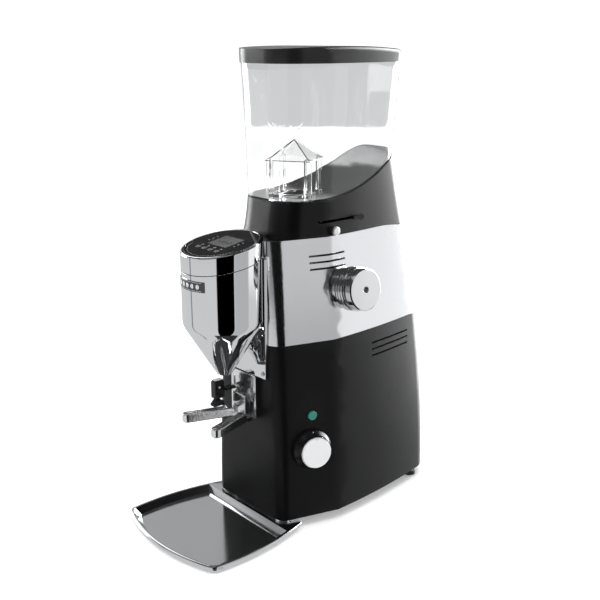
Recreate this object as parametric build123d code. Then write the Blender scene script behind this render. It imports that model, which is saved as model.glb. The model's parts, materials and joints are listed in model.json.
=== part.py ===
from build123d import *
import os
from math import acos, asin, atan2, cos, degrees, hypot, radians, sin, sqrt, tan

# On-demand burr coffee grinder with a display head, a portafilter fork and a catch tray.
# Modelled about its own centre plane (x = 0), with the front wall at y = 0 and the table at z = 0.
# Every part is then moved so that the origin is the bottom centre of the whole machine's box.

# ---- driving dimensions, mm ----
BODY_FOOT_Z = 14.7          # underside of the casing
BAND_LOW_Z = 261.0          # joint between lower casing and middle band
BAND_TOP_Z = 398.0          # ledge on top of the middle band
BAND_DROP_Y = 185.0         # behind this line the ledge droops
BAND_DROP_R = 300.0
SEAM_Z = 445.0              # joint between collar and hopper at the front
SEAM_TURN_Y = 72.0          # behind this line the joint sweeps upwards
SEAM_R = 280.0
LID_LOW_Z = 619.0
LID_TOP_Z = 640.0
HOPPER_TOP_Z = 627.0        # the hopper's rim, covered by the lid
WALL = 2.6
HOPPER_WALL = 2.4
LID_WALL = 3.0
SKIN_STEPS = 5              # spans between the plan sections of a skin

CREASE_Y = 85.0             # the two side facets meet here
FACET_SLOPE = 0.28
SIDE_BULGE = 0.022          # bow of the rear facet over its length
REAR_RATIO = 0.775          # half width at the rear corner over half width at the crease
REAR_TURN = 26.0            # depth of the rounded rear corner

BURR_Y = 86.0               # burrs, shaft and motor stand on this axis
PLATE_TOP_Z = 302.0         # top of the inner frame's plate
BASE_TOP_Z = 18.0           # top of the base plate
CHAMBER_LOW_Z = 328.0
CHAMBER_R = 44.0
THROAT_R = 20.0
GUARD_EAVE_Z, GUARD_TOP_Z = 494.0, 520.0
GUARD_HALF = 31.0
GUARD_TURN = 32.0           # degrees that the finger guard sits turned in the hopper
NECK_R = 25.0
SHAFT_R = 7.5
RUN = 0.04                  # running clearance, on the radius

HEAD_Y = -37.0              # axis of the dosing funnel and display head
HEAD_R = 53.5
HEAD_TILT = 10.5            # degrees that the display faces the user
HEAD_TOP_Z = 396.5          # these three are heights on the head's axis
HEAD_GAP_Z = 372.5
CONE_TOP_Z = 290.0
FUNNEL_OUT_Z = 219.0
FUNNEL_OUT_R = 10.0
FUNNEL_WALL = 1.6
APRON_FRONT_Y = -4.0
PANEL_R = 48.5
LCD_V = 6.8                 # distances up the panel's slope from the head's axis
KEY_V = -22.0
LCD_WIDE, LCD_DEEP = 40.0, 31.0
BOARD_DEPTH = 7.0           # top of the display's board below the panel's top
BADGE_LOW_Z, BADGE_TOP_Z = 343.0, 356.5
CHUTE_Z = 350.0
CHUTE_R = 13.0

FORK_Z = 149.0              # underside of the prongs
BRACKET_FRONT_Y = -6.0
SLIDE_FRONT_Y = -14.3
PRONG_TIP = (33.5, -76.0)   # centre of a prong's rounded tip
PRONG_HALF = 7.2
PRONG_HEIGHT = 12.5
PIN_Y, PIN_Z, PIN_R = -31.0, 191.0, 1.5    # the start lever's pin
TRAY_TOP_Z = 11.5
TRAY_FRONT_Y = -155.5
TRAY_HALF = 105.5

KNOB_Y = 113.0
KNOB_Z = 326.0
KNOB_TILT = 7.0
WORM_R = 6.4
WHEEL_R = 20.4

SWITCH_Y, SWITCH_Z = 45.0, 114.0
LAMP_Y, LAMP_Z = 48.0, 161.0
LOCK_Y, LOCK_Z = 96.0, 405.5
GATE_Z = 417.0
GATE_T = 2.0
FRONT_FOOT = (62.0, 15.0)
REAR_FOOT = (60.0, 266.0)
MOTOR_R = 52.0
MOTOR_LOW_Z, MOTOR_TOP_Z = 78.0, 215.0
CORE_LOW_Z, CORE_TOP_Z = 95.0, 190.0
STATOR_R = 50.2
ROTOR_R = 28.0
BOARD_Y = 202.0             # component side of the control board
BEARING_R = 15.0            # outside of both shaft bearings
STATOR_SLOTS = 12
FAN_BLADES = 9
SWEEPER_ARMS = 3
UPPER_FLUTES, LOWER_FLUTES = 24, 18     # cutting flutes of the two burrs


# ---- outside shape: plan sections that change with height ----
def body_crease(z):
    return 96.0 - 1.9e-4 * z * z


def body_section(z, inset=0.0):
    swell = z * z
    return outline(z, body_crease(z) - inset, inset, 18 + 1.07e-4 * swell - inset,
                   294 - 2.05e-4 * swell - inset)


def collar_section(z, inset=0.0):
    low = z - BAND_TOP_Z
    waist = z - SEAM_Z
    spread = 1.9e-3 if waist < 0 else 2.0e-4
    return outline(z, 62 + spread * waist ** 2 - inset, 22 + 0.16 * low + inset,
                   41 - 0.06 * low - inset, 261.5 - 0.155 * low - 6.8e-4 * low ** 2 - inset)


def hopper_section(z, inset=0.0):
    rise = z - SEAM_Z
    return outline(z, 62 + 2.0e-4 * rise ** 2 - inset, 30 - 0.046 * rise + inset,
                   38 + 0.03 * rise - inset, 236 + 0.069 * rise - inset)


def outline(z, crease_x, nose_y, nose_r, rear_y):
    """Face at height z: flat nose, rounded corners, side facet, crease, bowed rear facet."""
    length = hypot(FACET_SLOPE, 1)
    ux, uy = FACET_SLOPE / length, 1 / length
    corner_x = crease_x - FACET_SLOPE * (CREASE_Y - nose_y)
    reach = nose_r / tan(acos(-ux) / 2)
    start = (corner_x - reach, nose_y)
    end = (corner_x + reach * ux, nose_y + reach * uy)
    centre = (start[0], nose_y + nose_r)
    turn = hypot(corner_x - centre[0], nose_r)
    middle = (centre[0] + nose_r * (corner_x - centre[0]) / turn, centre[1] - nose_r * nose_r / turn)
    crease = (crease_x, CREASE_Y)
    tail = (REAR_RATIO * crease_x, rear_y - REAR_TURN)
    chord = hypot(tail[0] - crease[0], tail[1] - crease[1])
    lean = atan2(crease[0] - tail[0], tail[1] - crease[1])
    bow = SIDE_BULGE * chord
    belly = ((crease[0] + tail[0]) / 2 + bow * cos(lean), (crease[1] + tail[1]) / 2 + bow * sin(lean))
    heading = lean + 2 * atan2(2 * bow, chord)
    rear_r = REAR_TURN / (1 - sin(heading))
    hub = (tail[0] - rear_r * cos(heading), tail[1] - rear_r * sin(heading))
    half = (heading + radians(90)) / 2
    shoulder = (hub[0] + rear_r * cos(half), hub[1] + rear_r * sin(half))
    back = (hub[0], rear_y)

    def flip(p):
        return (-p[0], p[1])

    edges = [
        Line(flip(start), start),
        ThreePointArc(start, middle, end),
        Line(end, crease),
        ThreePointArc(crease, belly, tail),
        ThreePointArc(tail, shoulder, back),
        Line(back, flip(back)),
        ThreePointArc(flip(back), flip(shoulder), flip(tail)),
        ThreePointArc(flip(tail), flip(belly), flip(crease)),
        Line(flip(crease), flip(end)),
        ThreePointArc(flip(end), flip(middle), flip(start)),
    ]
    return Pos(0, 0, z) * make_face(Curve() + edges)


def skin(section, low, high, inset=0.0):
    """Solid lofted through evenly spaced plan sections."""
    step = (high - low) / SKIN_STEPS
    return loft([section(low + i * step, inset) for i in range(SKIN_STEPS + 1)])


def side_x(y, z):
    """Half width of the casing's outside at this depth and height."""
    crease_x = body_crease(z)
    if y <= CREASE_Y:
        return crease_x - FACET_SLOPE * (CREASE_Y - y)
    tail_x = REAR_RATIO * crease_x
    tail_y = 294 - 2.05e-4 * z * z - REAR_TURN
    part = (y - CREASE_Y) / (tail_y - CREASE_Y)
    return crease_x + (tail_x - crease_x) * part + 4 * SIDE_BULGE * (tail_y - CREASE_Y) * part * (1 - part)


def side_plane(y, z):
    """Plane on the casing's right side, normal pointing outwards."""
    d = 1.0
    along = Vector(side_x(y + d, z) - side_x(y - d, z), 2 * d, 0)
    up = Vector(side_x(y, z + d) - side_x(y, z - d), 0, 2 * d)
    return Plane(origin=(side_x(y, z), y, z), x_dir=along.normalized(), z_dir=along.cross(up).normalized())


# ---- small helpers ----
def block(x0, x1, y0, y1, z0, z1):
    return Pos((x0 + x1) / 2, (y0 + y1) / 2, (z0 + z1) / 2) * Box(x1 - x0, y1 - y0, z1 - z0)


def rod(x, y, z0, z1, r):
    return Pos(x, y, (z0 + z1) / 2) * Cylinder(r, z1 - z0)


def pipe(z0, z1, outer, inner):
    """Upright tube on the burrs' axis."""
    return rod(0, BURR_Y, z0, z1, outer) - rod(0, BURR_Y, z0, z1, inner)


def cross_rod(x0, x1, y, z, r):
    """Round bar along X."""
    return Pos((x0 + x1) / 2, y, z) * Rot(0, 90, 0) * Cylinder(r, x1 - x0)


def deep_rod(x, y0, y1, z, r):
    """Round bar along Y."""
    return Pos(x, (y0 + y1) / 2, z) * Rot(90, 0, 0) * Cylinder(r, y1 - y0)


def turned(y, *points):
    """Solid turned about the upright axis at (0, y) from (radius, height) corners."""
    profile = make_face(Polyline(*points, close=True))
    return Pos(0, y, 0) * revolve(Plane.XZ * profile, Axis.Z)


def above(edges, span=150):
    """Solid over everything above a line of edges drawn in the YZ plane."""
    return Pos(-span, 0, 0) * extrude(Plane.YZ * make_face(Curve() + edges), 2 * span)


def above_seam(lift=0.0):
    """Space above the joint between collar and hopper: level, then sweeping up to the rear."""
    z = SEAM_Z + lift
    radius = SEAM_R - lift
    reach = radius * 0.72
    end = (SEAM_TURN_Y + reach, z + radius - sqrt(radius ** 2 - reach ** 2))
    half = asin(reach / radius) / 2
    middle = (SEAM_TURN_Y + radius * sin(half), z + radius * (1 - cos(half)))
    return above([
        Line((-20, z), (SEAM_TURN_Y, z)),
        ThreePointArc((SEAM_TURN_Y, z), middle, end),
        Line(end, (300, end[1])),
        Line((300, end[1]), (300, 700)),
        Line((300, 700), (-20, 700)),
        Line((-20, 700), (-20, z)),
    ])


def above_ledge(lift=0.0):
    """Space above the middle band: level, then drooping to the rear."""
    z = BAND_TOP_Z + lift
    reach = 95.0
    fall = BAND_DROP_R - sqrt(BAND_DROP_R ** 2 - reach ** 2)
    half = asin(reach / BAND_DROP_R) / 2
    middle = (BAND_DROP_Y + BAND_DROP_R * sin(half), z - BAND_DROP_R * (1 - cos(half)))
    end = (BAND_DROP_Y + reach, z - fall)
    return above([
        Line((-20, z), (BAND_DROP_Y, z)),
        ThreePointArc((BAND_DROP_Y, z), middle, end),
        Line(end, (end[0], 700)),
        Line((end[0], 700), (-20, 700)),
        Line((-20, 700), (-20, z)),
    ])


def vents(y0, y1, z, gap, x):
    """Three slots through each side wall."""
    return [block(-x, x, y0, y1, z + i * gap - 1.2, z + i * gap + 1.2) for i in (-1, 0, 1)]


# ---- casing ----
def lower_casing():
    shell = skin(body_section, BODY_FOOT_Z, BAND_LOW_Z) - skin(body_section, BODY_FOOT_Z, BAND_LOW_Z, WALL)
    switch = side_plane(SWITCH_Y, SWITCH_Z) * Cylinder(5.0, 20)
    lamp = side_plane(LAMP_Y, LAMP_Z) * Cylinder(5.0, 20)
    gland = deep_rod(0, 280, 300, 45, 7)
    return shell - vents(158, 242, 230.5, 9, 110) - switch - lamp - gland


def middle_band():
    top = BAND_TOP_Z + 6
    shell = skin(body_section, BAND_LOW_Z, top) - above_ledge()
    inside = skin(body_section, BAND_LOW_Z, top, WALL) - above_ledge(-3)
    well = skin(collar_section, BAND_TOP_Z - 20, BAND_TOP_Z + 10, WALL + 2)
    knob = knob_frame() * Cylinder(27.2 + 0.2, 30)
    chute = deep_rod(0, -2, 20, CHUTE_Z, CHUTE_R + 0.3)
    return shell - inside - well - knob - chute - vents(58, 115, 366, 8.7, 100)


def base_plate():
    plate = skin(body_section, BODY_FOOT_Z, BASE_TOP_Z, WALL)
    holes = [rod(x, y, 0, 40, 4.2) for x, y in foot_places()]
    return plate - holes


def foot_places():
    return [(side * x, y) for side in (-1, 1) for x, y in (FRONT_FOOT, REAR_FOOT)]


def foot_shanks():
    shanks = []
    for x, y in foot_places():
        shanks += [rod(x, y, 5, BODY_FOOT_Z, 6.5) + rod(x, y, BODY_FOOT_Z, BASE_TOP_Z + 4, 4.1)]
    return shanks


def foot_pads():
    return [fillet(rod(x, y, 0, 5, 9.5).edges(), 1.0) for x, y in foot_places()]


def cable_gland():
    body = deep_rod(0, 286, 298, 45, 6.9) + deep_rod(0, 293.8, 297, 45, 12) + deep_rod(0, 297, 306, 45, 9)
    return body - deep_rod(0, 280, 310, 45, 4)


def frame_pillars():
    return [rod(side * 46, y, BASE_TOP_Z, PLATE_TOP_Z - 6, 5) for side in (-1, 1) for y in (25, 150)]


def top_plate():
    plate = Pos(0, 88, PLATE_TOP_Z - 6) * extrude(RectangleRounded(108, 146, 8), 6)
    lug = block(-27, -19, KNOB_Y - 8, KNOB_Y + 8, PLATE_TOP_Z, PLATE_TOP_Z + 24)
    plate = plate + lug - rod(0, BURR_Y, 280, 320, 18 + RUN)
    return plate - knob_frame() * Pos(0, 0, -100) * Cylinder(4 + RUN, 60)


# ---- grinding gear ----
def grinding_chamber():
    body = turned(
        BURR_Y,
        (18 + RUN, CHAMBER_LOW_Z), (CHAMBER_R, CHAMBER_LOW_Z), (CHAMBER_R, 402), (26.5, 402), (26.5, 399),
        (THROAT_R, 399), (THROAT_R, 394), (38, 394), (38, 338), (18 + RUN, 338),
    )
    for angle in (-120, -60, 10, 170):
        x = 36 * cos(radians(angle))
        y = BURR_Y + 36 * sin(radians(angle))
        body += rod(x, y, PLATE_TOP_Z, CHAMBER_LOW_Z, 6)
    return body - deep_rod(0, 30, BURR_Y - 20, CHUTE_Z, CHUTE_R)


def around_burrs(shape, count, start=0.0):
    """Copies of a shape evenly spaced about the burrs' axis."""
    return [Pos(0, BURR_Y, 0) * Rot(0, 0, start + 360 * i / count) * shape for i in range(count)]


def upper_burr():
    ring = turned(BURR_Y, (37.9, 363), (37.9, 394), (21, 394), (33, 363))
    flute = Pos(32.6, 0, 370) * Rot(0, -20, 12) * Box(2, 1.6, 24)
    return ring - around_burrs(flute, UPPER_FLUTES)


def lower_burr():
    cone = turned(
        BURR_Y,
        (4.1, 388), (10, 388), (31.5, 362), (31.5, 352), (SHAFT_R, 352), (SHAFT_R, 380), (4.1, 380),
    )
    flute = Pos(31, 0, 364) * Rot(0, -39, -12) * Box(2.4, 1.8, 30)
    return cone - around_burrs(flute, LOWER_FLUTES)


def burr_bolt():
    bolt = rod(0, BURR_Y, 380, 388, 4) + rod(0, BURR_Y, 388, 394, 9)
    return bolt - Pos(0, BURR_Y, 391) * extrude(RegularPolygon(3.5, 6), 4)


def sweeper():
    plate = rod(0, BURR_Y, 348, 352, 34)
    plate += around_burrs(block(16, 36.5, -2, 2, 339.5, 352), SWEEPER_ARMS, 30)
    return plate - rod(0, BURR_Y, 330, 360, SHAFT_R)


def drive_shaft():
    return rod(0, BURR_Y, 60, 380, SHAFT_R)


def bearing(z0, z1):
    return pipe(z0, z1, BEARING_R, SHAFT_R + RUN) - pipe(z1 - 0.8, z1, BEARING_R - 2.5, SHAFT_R + 2)


def adjusting_sleeve():
    """Worm wheel and bearing holder: turning it sets the height of the lower burr."""
    return turned(
        BURR_Y,
        (9, 335), (18, 335), (18, 323), (WHEEL_R, 323), (WHEEL_R, 311), (18, 311), (18, 297), (15, 297),
        (15, 315), (9, 315),
    )


def motor_top_shield():
    shield = rod(0, BURR_Y, MOTOR_TOP_Z, 226, MOTOR_R) + rod(0, BURR_Y, 226, 236, 22)
    return shield - rod(0, BURR_Y, 210, 240, 9)


def motor_bottom_shield():
    shield = pipe(66, MOTOR_LOW_Z, MOTOR_R, 9) - rod(0, BURR_Y, 66, 76, BEARING_R)
    return shield + around_burrs(rod(43, 0, BASE_TOP_Z, 66, 6), 4, 45)


def motor_housing():
    return pipe(MOTOR_LOW_Z, MOTOR_TOP_Z, MOTOR_R, STATOR_R)


def motor_stator():
    core = pipe(CORE_LOW_Z, CORE_TOP_Z, STATOR_R, ROTOR_R + 0.4)
    return core - around_burrs(block(27, 40, -3, 3, CORE_LOW_Z - 5, CORE_TOP_Z + 10), STATOR_SLOTS)


def motor_rotor():
    core = pipe(CORE_LOW_Z, CORE_TOP_Z, ROTOR_R, SHAFT_R)
    rims = pipe(CORE_LOW_Z - 7, CORE_LOW_Z, ROTOR_R - 2, SHAFT_R)
    return core + rims + pipe(CORE_TOP_Z, CORE_TOP_Z + 7, ROTOR_R - 2, SHAFT_R)


def cooling_fan():
    fan = rod(0, BURR_Y, 200, 209, 12) + around_burrs(block(10, 44, -0.9, 0.9, 200, 211), FAN_BLADES)
    return fan - rod(0, BURR_Y, 190, 220, SHAFT_R)


def run_capacitor():
    can = fillet(rod(0, 166, BASE_TOP_Z, 112, 19).edges().group_by(Axis.Z)[-1], 2)
    return can + rod(-6, 166, 112, 118, 2) + rod(6, 166, 112, 118, 2)


def control_board():
    """Upright board behind the motor with a transformer, relay, heat sink and capacitors on it."""
    board = block(-48, 48, BOARD_Y - 2, BOARD_Y, BASE_TOP_Z, 190)
    transformer = block(-40, -10, BOARD_Y, BOARD_Y + 18, 48, 72)
    relay = block(5, 39, BOARD_Y, BOARD_Y + 26, 55, 85)
    heat_sink = block(-40, 0, BOARD_Y, BOARD_Y + 12, 110, 130)
    capacitors = block(12, 36, BOARD_Y, BOARD_Y + 16, 118, 142)
    return board + transformer + relay + heat_sink + capacitors


# ---- grind knob ----
def knob_frame():
    """Frame on the knob's axis: its z points out of the band and slightly up."""
    return Plane(
        origin=(side_x(KNOB_Y, KNOB_Z) - 1.2, KNOB_Y, KNOB_Z),
        x_dir=(0, 1, 0),
        z_dir=(cos(radians(KNOB_TILT)), 0, sin(radians(KNOB_TILT))),
    )


def along_knob(*points):
    """Solid turned about the knob's axis from (radius, distance out) corners."""
    return knob_frame() * revolve(Plane.XZ * make_face(Polyline(*points, close=True)), Axis.Z)


def knob_flange():
    return along_knob((4 + RUN, -4), (27.2, -4), (27.2, 8), (26, 9), (4 + RUN, 9))


def grind_knob():
    return along_knob(
        (5, 9.5), (24, 9.5), (24, 12), (28.8, 12), (29.8, 13), (29.8, 15.5), (28.6, 16.2), (28.6, 17.2),
        (29.8, 18), (29.8, 20.5), (28.6, 21.2), (28.6, 22.2), (29.8, 23), (29.8, 25), (28.8, 26),
        (26, 26), (26, 29), (27.2, 29), (28.2, 30), (28.2, 38.5), (26.7, 40), (4.6, 40), (3.9, 39.3),
        (3.9, 31), (5, 31),
    )


def knob_screw():
    screw = along_knob((0.01, 31), (3.8, 31), (3.8, 35.5), (3.3, 36), (0.01, 36))
    return screw - knob_frame() * Pos(0, 0, 32.5) * extrude(RegularPolygon(2.5, 6), 5)


def worm_shaft():
    middle = side_x(KNOB_Y, KNOB_Z) / cos(radians(KNOB_TILT))
    return along_knob(
        (0.01, 31), (4.95, 31), (4.95, 9.5), (4, 9.5), (4, 11 - middle), (WORM_R, 10 - middle),
        (WORM_R, -12 - middle), (4, -13 - middle), (4, -28 - middle), (0.01, -28 - middle),
    )


# ---- power switch ----
def switch_body():
    frame = side_plane(SWITCH_Y, SWITCH_Z)
    body = frame * Pos(0, 0, -WALL - 10.5) * Box(26, 26, 20)
    bush = frame * Pos(0, 0, -2) * Cylinder(4.9, 4)
    return body + bush - frame * Pos(0, 0, -5) * Cylinder(3 + RUN, 20)


def switch_knob():
    frame = side_plane(SWITCH_Y, SWITCH_Z)
    profile = [(0.01, 0.6), (27, 0.6), (28, 1.4), (27.2, 6), (23, 11), (22, 16), (0.01, 16)]
    knob = frame * revolve(Plane.XZ * make_face(Polyline(*profile, close=True)), Axis.Z)
    knob -= frame * Pos(0, 0, 15) * Cylinder(20.7, 4)
    return knob + frame * Pos(0, 0, -6) * Cylinder(3, 14)


def switch_cap():
    cap = Pos(0, 0, 16.5) * Cylinder(20.6, 7)
    cap = fillet(cap.edges().group_by(Axis.Z)[-1], 1.2)
    return side_plane(SWITCH_Y, SWITCH_Z) * (cap - Pos(0, 20.6, 20) * Cylinder(2.2, 4))


def pilot_light():
    lens = Pos(0, 0, 1.2) * Cylinder(6.4, 2.4)
    lens = fillet(lens.edges().group_by(Axis.Z)[-1], 1.1)
    return side_plane(LAMP_Y, LAMP_Z) * (lens + Pos(0, 0, -6) * Cylinder(4.9, 13))


# ---- display head and dosing funnel ----
def tilted_slab(low, high, reach=140):
    """Slab between two planes that cross the head's axis at these heights and face the user."""
    slab = Pos(0, 0, (high - low) * cos(radians(HEAD_TILT)) / 2)
    slab = slab * Box(2 * reach, 2 * reach, (high - low) * cos(radians(HEAD_TILT)))
    return Pos(0, HEAD_Y, low) * Rot(HEAD_TILT, 0, 0) * slab


def head_disc(radius, low, high):
    return rod(0, HEAD_Y, low - 60, high + 60, radius) & tilted_slab(low, high)


def on_panel(x, v, depth):
    """Place below the head's sloping top: v runs up the slope from the head's axis."""
    return Pos(0, HEAD_Y, HEAD_TOP_Z) * Rot(HEAD_TILT, 0, 0) * Pos(x, v, -depth)


def display_ring():
    ring = head_disc(HEAD_R, HEAD_GAP_Z + 0.9, HEAD_TOP_Z)
    ring = fillet(ring.edges().group_by(Axis.Z)[-1], 2.5)
    ring -= head_disc(PANEL_R + 0.3, HEAD_GAP_Z + 4, HEAD_TOP_Z + 20)
    return ring - block(-60, 60, -0.3, 40, 350, BAND_TOP_Z + 0.3)


def control_panel():
    panel = head_disc(PANEL_R, HEAD_TOP_Z - 3, HEAD_TOP_Z - 0.4)
    panel -= on_panel(0, LCD_V, 0) * Box(LCD_WIDE + 0.2, LCD_DEEP + 0.2, 20)
    for x in key_places():
        panel -= on_panel(x, KEY_V, 0) * extrude(SlotOverall(9.2, 5.2), 20, both=True)
    return panel


def key_places():
    return [(i - 1.5) * 13.4 for i in range(4)]


def lcd_screen():
    return on_panel(0, LCD_V, (BOARD_DEPTH + 0.6) / 2) * Box(LCD_WIDE, LCD_DEEP, BOARD_DEPTH - 0.6)


def panel_key(x):
    key = extrude(SlotOverall(8.6, 4.6), BOARD_DEPTH - 1)
    key = fillet(key.edges().group_by(Axis.Z)[-1], 0.4)
    return on_panel(x, KEY_V, BOARD_DEPTH - 1) * key


def display_board():
    board = on_panel(0, -2, BOARD_DEPTH + 1) * Cylinder(33, 2)
    floor_depth = (HEAD_TOP_Z - HEAD_GAP_Z - 4) * cos(radians(HEAD_TILT))
    height = floor_depth - BOARD_DEPTH - 2
    for x in (-20, 20):
        for v in (-22, 16):
            board += on_panel(x, v, BOARD_DEPTH + 2 + height / 2) * Cylinder(2.5, height)
    return board


def funnel():
    wall = FUNNEL_WALL
    top = HEAD_GAP_Z + 30
    outer = turned(HEAD_Y, (0, FUNNEL_OUT_Z), (FUNNEL_OUT_R, FUNNEL_OUT_Z), (HEAD_R - 3, CONE_TOP_Z - 5),
                   (HEAD_R - 0.8, CONE_TOP_Z), (HEAD_R, CONE_TOP_Z + 6), (HEAD_R, top), (0, top))
    inner = turned(HEAD_Y, (0, FUNNEL_OUT_Z - 1), (FUNNEL_OUT_R - wall, FUNNEL_OUT_Z - 1),
                   (FUNNEL_OUT_R - wall, FUNNEL_OUT_Z + 1), (HEAD_R - 3 - wall, CONE_TOP_Z - 4.2),
                   (HEAD_R - 0.8 - wall, CONE_TOP_Z + 0.6), (HEAD_R - wall, CONE_TOP_Z + 6.4),
                   (HEAD_R - wall, top + 1), (0, top + 1))
    shell = (outer - inner) - tilted_slab(HEAD_GAP_Z, HEAD_GAP_Z + 80)
    return shell - block(-70, 70, APRON_FRONT_Y, 40, 200, 460)


def badge():
    ring = rod(0, HEAD_Y, BADGE_LOW_Z, BADGE_TOP_Z, HEAD_R + 0.8) - rod(0, HEAD_Y, 330, 370, HEAD_R)
    return ring & block(-27, 27, -120, HEAD_Y - 20, 330, 370)


def apron():
    plate = block(-46.5, 46.5, APRON_FRONT_Y, 0, 214.5, 378)
    plate = fillet(plate.edges().filter_by(Axis.Y), 1.5)
    return plate - deep_rod(0, -10, 10, CHUTE_Z, CHUTE_R + 0.3)


def slotted_head(x, y, z, radius, height):
    """Screw head that stands out from a front face at y, with a slot across it."""
    head = Pos(x, y - height / 2, z) * Rot(90, 0, 0) * Cylinder(radius, height)
    return head - Pos(x, y - height, z) * Box(4, 0.8, 0.8)


def apron_screws():
    return [slotted_head(x, APRON_FRONT_Y, 221, 3, 1.2) for x in (-40.5, 40.5)]


def outlet_chute():
    tube = deep_rod(0, -16, BURR_Y - 39.5, CHUTE_Z, CHUTE_R) - deep_rod(0, -20, 80, CHUTE_Z, CHUTE_R - 2)
    return tube - rod(0, BURR_Y, 330, 370, 38)


# ---- portafilter fork ----
def fork_bracket():
    plate = block(-27, 27, BRACKET_FRONT_Y, 0, 154, 213.5)
    plate = fillet(plate.edges().filter_by(Axis.Y), 2)
    slot = extrude(Rot(0, 0, 90) * SlotOverall(28, 4), 4, both=True)
    for x in (-19.5, 19.5):
        plate -= Pos(x, BRACKET_FRONT_Y, 190) * Rot(90, 0, 0) * slot
    return plate


def fork_slide():
    back = BRACKET_FRONT_Y - 0.3
    slide = block(-13.7, 13.7, SLIDE_FRONT_Y, back, 152, 184)
    slide = fillet(slide.edges().group_by(Axis.Y)[0], 1)
    for side in (-1, 1):
        slide += Pos(18.5 * side, 0, 0) * block(-5.5, 5.5, back - 2.7, back, 186, 190)
        slide += Pos(14.5 * side, 0, 0) * block(-2.5, 2.5, back - 2.7, back, 176, 190)
    bar = block(-20, 20, SLIDE_FRONT_Y - 4, back, FORK_Z, 155)
    return slide + fillet(bar.edges().filter_by(Axis.Z), 2)


def fork_screws():
    return [slotted_head(x, SLIDE_FRONT_Y, 160, 2.5, 1.4) for x in (-8, 8)]


def fork_prong(side):
    """Channel that carries one ear of the portafilter; it splays outwards to a rounded tip."""
    front = SLIDE_FRONT_Y - 4
    root = Vector(15.5, front)
    tip = Vector(PRONG_TIP)
    length = (tip - root).length
    angle = degrees(atan2(tip.Y - root.Y, tip.X - root.X))
    half, height, wall = PRONG_HALF, PRONG_HEIGHT, 2.4
    bar = block(-4, length, -half, half, FORK_Z, FORK_Z + height)
    bar += rod(length, 0, FORK_Z, FORK_Z + height, half)
    bar = fillet(bar.edges().group_by(Axis.Z)[0], 3.5)
    bar = fillet(bar.edges().group_by(Axis.Z)[-1], 0.8)
    inner = half - wall
    groove = block(5, length, -inner, inner, FORK_Z + 4, FORK_Z + 20)
    groove += rod(length, 0, FORK_Z + 4, FORK_Z + 20, inner)
    groove = fillet(groove.edges().group_by(Axis.Z)[0], 2)
    prong = Pos(root.X, root.Y, 0) * Rot(0, 0, angle) * (bar - groove)
    prong -= block(-60, 60, front, 20, 140, 170)
    return prong if side > 0 else mirror(prong, Plane.YZ)


def start_switch():
    """Switch box on an arm of the slide; its pin shows as a dot on the side."""
    case = block(-31, -21, -38, -22.5, 175, 199)
    case = fillet(case.edges().filter_by(Axis.X), 1.2)
    cap = block(-30.2, -21.8, -36.8, -23.7, 199, 201)
    arm = block(-24, -16, -23.5, BRACKET_FRONT_Y - 3, 186, 190)
    slot = block(-28.4, -23.6, -34, -24.5, 170, 196)
    return case + cap + arm - slot - cross_rod(-29.5, -10, PIN_Y, PIN_Z, PIN_R + RUN)


def start_lever():
    """Paddle that a portafilter pushes back, hung from a pin inside the switch box."""
    arm = block(-28, -24, PIN_Y - 2, PIN_Y + 2, 166, PIN_Z + 2)
    pin = cross_rod(-29.4, -20.6, PIN_Y, PIN_Z, PIN_R)
    profile = Polyline((-40, 164), (-23, 164), (-23, 169), (-28, 173), (-34, 173), (-40, 167), close=True)
    paddle = Pos(-30.5, 0, 0) * extrude(Plane.YZ * make_face(profile), 9)
    return arm + pin + fillet(paddle.edges().filter_by(Axis.X), 0.6)


# ---- catch tray ----
def tray_outline(z, inset):
    """Cushion-shaped plan: bowed front and sides, small rear corners."""
    front = TRAY_FRONT_Y + inset
    half = TRAY_HALF - inset
    rear = 28 - inset
    corner = (half - 3, front + 21)
    waist = (half, -78)
    heel = (half - 19, rear)
    round_r = 14 - inset / 2

    def flip(p):
        return (-p[0], p[1])

    edges = [
        ThreePointArc(flip(corner), (0, front), corner),
        ThreePointArc(corner, waist, heel),
        Line(heel, flip(heel)),
        ThreePointArc(flip(heel), flip(waist), flip(corner)),
    ]
    face = make_face(Curve() + edges)
    face = fillet(face.vertices().group_by(Axis.Y)[0], round_r)
    return Pos(0, 0, z) * fillet(face.vertices().group_by(Axis.Y)[-1], 5)


def catch_tray():
    """Shallow pressed tray with a rolled rim; notches at the back clear the front feet."""
    outside = loft([tray_outline(0, 7), tray_outline(4, 3)])
    outside += loft([tray_outline(4, 3), tray_outline(TRAY_TOP_Z, 0)])
    outside = fillet(outside.edges().group_by(Axis.Z)[-1], 2)
    pocket = loft([tray_outline(2, 12), tray_outline(TRAY_TOP_Z + 0.1, 5)])
    top = TRAY_TOP_Z + 2
    rear_cut = Polyline((-200, 0), (-12, 0), (-9, 3), (-4, top), (-200, top), close=True)
    tray = outside - (pocket & Pos(-150, 0, 0) * extrude(Plane.YZ * make_face(rear_cut), 300))
    under = block(-44, 44, -1, 40, -1, 8)
    x, y = FRONT_FOOT
    notch = block(-13, 13, y, 60, -1, 20) + rod(0, y, -1, 20, 13)
    return tray - under - [Pos(side * x, 0, 0) * notch for side in (-1, 1)]


# ---- hopper ----
def hopper_collar():
    outer = skin(collar_section, BAND_TOP_Z - 14, 508) - above_seam() & above_ledge()
    inner = skin(collar_section, BAND_TOP_Z - 16, 510, WALL)
    slot = block(40, 90, 75, 149.5, GATE_Z - 1.3, GATE_Z + GATE_T + 0.3)
    return outer - inner - slot - cross_rod(40, 90, LOCK_Y, LOCK_Z, 3 + RUN)


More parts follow.
